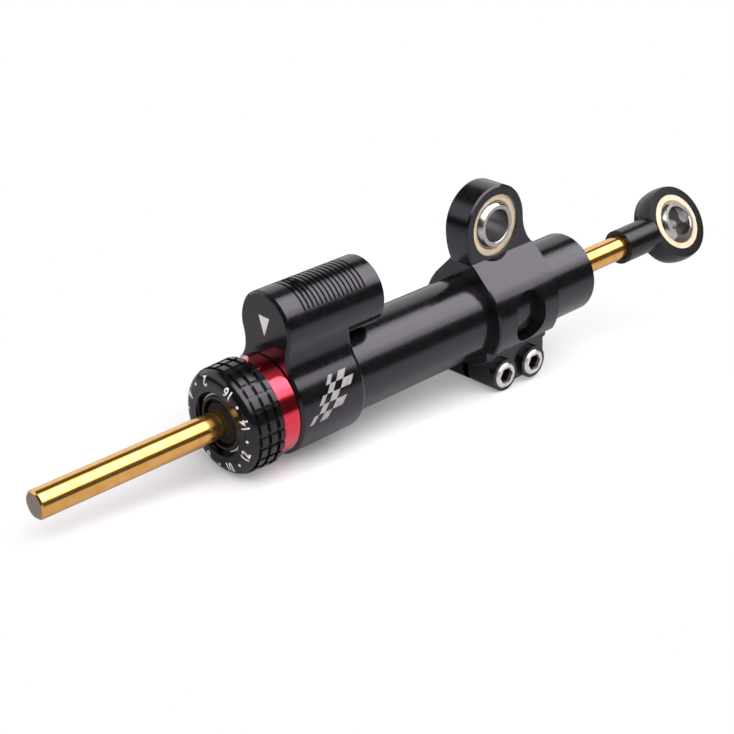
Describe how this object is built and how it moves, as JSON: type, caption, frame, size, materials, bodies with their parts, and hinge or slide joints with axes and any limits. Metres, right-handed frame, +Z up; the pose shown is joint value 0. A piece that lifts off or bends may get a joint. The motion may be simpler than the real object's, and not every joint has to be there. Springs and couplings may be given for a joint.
{
  "type": "motorcycle steering damper",
  "caption": "Linear steering damper: rod through a tube, numbered adjuster dial, side reservoir, clamp with spherical frame eye, and a rod end with a spherical eye.",
  "frame": {"origin": "centre of the clamp's spherical ball, where the frame bolt goes", "axes": "+X along the rod towards the rod end, +Y along the frame bolt, +Z up, away from the tube"},
  "size_m": [0.2662, 0.032, 0.0634],
  "materials": {
    "black_anodised": "glossy black anodised",
    "dial_black": "satin black anodised with white marks",
    "red_anodised": "glossy red anodised",
    "gold_rod": "polished, gold coloured hard coating",
    "gold_race": "gold coloured, turned",
    "bright_ball": "polished",
    "rod_end_black": "satin black",
    "screw_steel": "bright",
    "ring_steel": "bright",
    "plain_aluminium": "machined",
    "bush_bronze": "plain bearing bronze",
    "black_rubber": "matt",
    "slide_ring": "plain"
  },
  "bodies": {
    "cylinder": {"cylinder_tube": "black_anodised", "head_block": "black_anodised", "red_collar": "red_anodised", "front_gland": "black_anodised", "front_guide_bush": "bush_bronze", "front_rod_seal": "black_rubber", "front_wiper": "black_rubber", "flange_o_ring": "black_rubber", "rear_gland": "plain_aluminium", "rear_guide_bush": "bush_bronze", "rear_rod_seal": "black_rubber", "rear_wiper": "black_rubber", "rear_gland_o_ring": "black_rubber", "rear_circlip": "ring_steel", "reservoir_cap": "plain_aluminium", "cap_o_ring": "black_rubber", "cap_circlip": "ring_steel", "compensator_spring": "ring_steel", "detent_ball": "ring_steel", "detent_spring": "ring_steel", "dial_retaining_ring": "ring_steel"},
    "slide_ring": {"piston_ring": "slide_ring"},
    "rod": {"damper_rod": "gold_rod", "piston": "plain_aluminium", "piston_clips": "ring_steel", "rod_end_housing": "rod_end_black", "rod_end_race": "gold_race"},
    "rod_ball": {"rod_end_ball": "bright_ball"},
    "dial": {"adjuster_dial": "dial_black", "metering_sleeve": "plain_aluminium", "sleeve_o_ring": "black_rubber"},
    "compensator": {"compensator_piston": "plain_aluminium", "compensator_o_ring": "black_rubber"},
    "clamp": {"clamp_body": "black_anodised", "clamp_race": "gold_race", "clamp_screws": "screw_steel"},
    "frame_ball": {"clamp_ball": "bright_ball"}
  },
  "joints": [
    {"name": "rod_slide", "type": "slide", "parent": "cylinder", "child": "slide_ring", "axis": [1, 0, 0], "range_m": [-0.022, 0.05]},
    {"name": "rod_spin", "type": "hinge", "parent": "slide_ring", "child": "rod", "pos_m": [-0.0361, 0, -0.0277], "axis": [1, 0, 0], "continuous": true},
    {"name": "rod_end_swivel", "type": "hinge", "parent": "rod", "child": "rod_ball", "pos_m": [0.0914, 0, -0.0277], "axis": [0, 0.8387, -0.5446], "continuous": true},
    {"name": "dial_turn", "type": "hinge", "parent": "cylinder", "child": "dial", "pos_m": [-0.09895, 0, -0.0277], "axis": [1, 0, 0], "range_deg": [0, 337.5]},
    {"name": "compensator_slide", "type": "slide", "parent": "cylinder", "child": "compensator", "axis": [1, 0, 0], "range_m": [-0.008, 0.005], "stiffness_N_per_m": 250, "deforming": ["compensator_spring"]},
    {"name": "clamp_slide", "type": "slide", "parent": "cylinder", "child": "clamp", "axis": [1, 0, 0], "range_m": [-0.035, 0.018]},
    {"name": "frame_swivel", "type": "hinge", "parent": "clamp", "child": "frame_ball", "pos_m": [0, 0, 0], "axis": [0, 1, 0], "continuous": true}
  ]
}
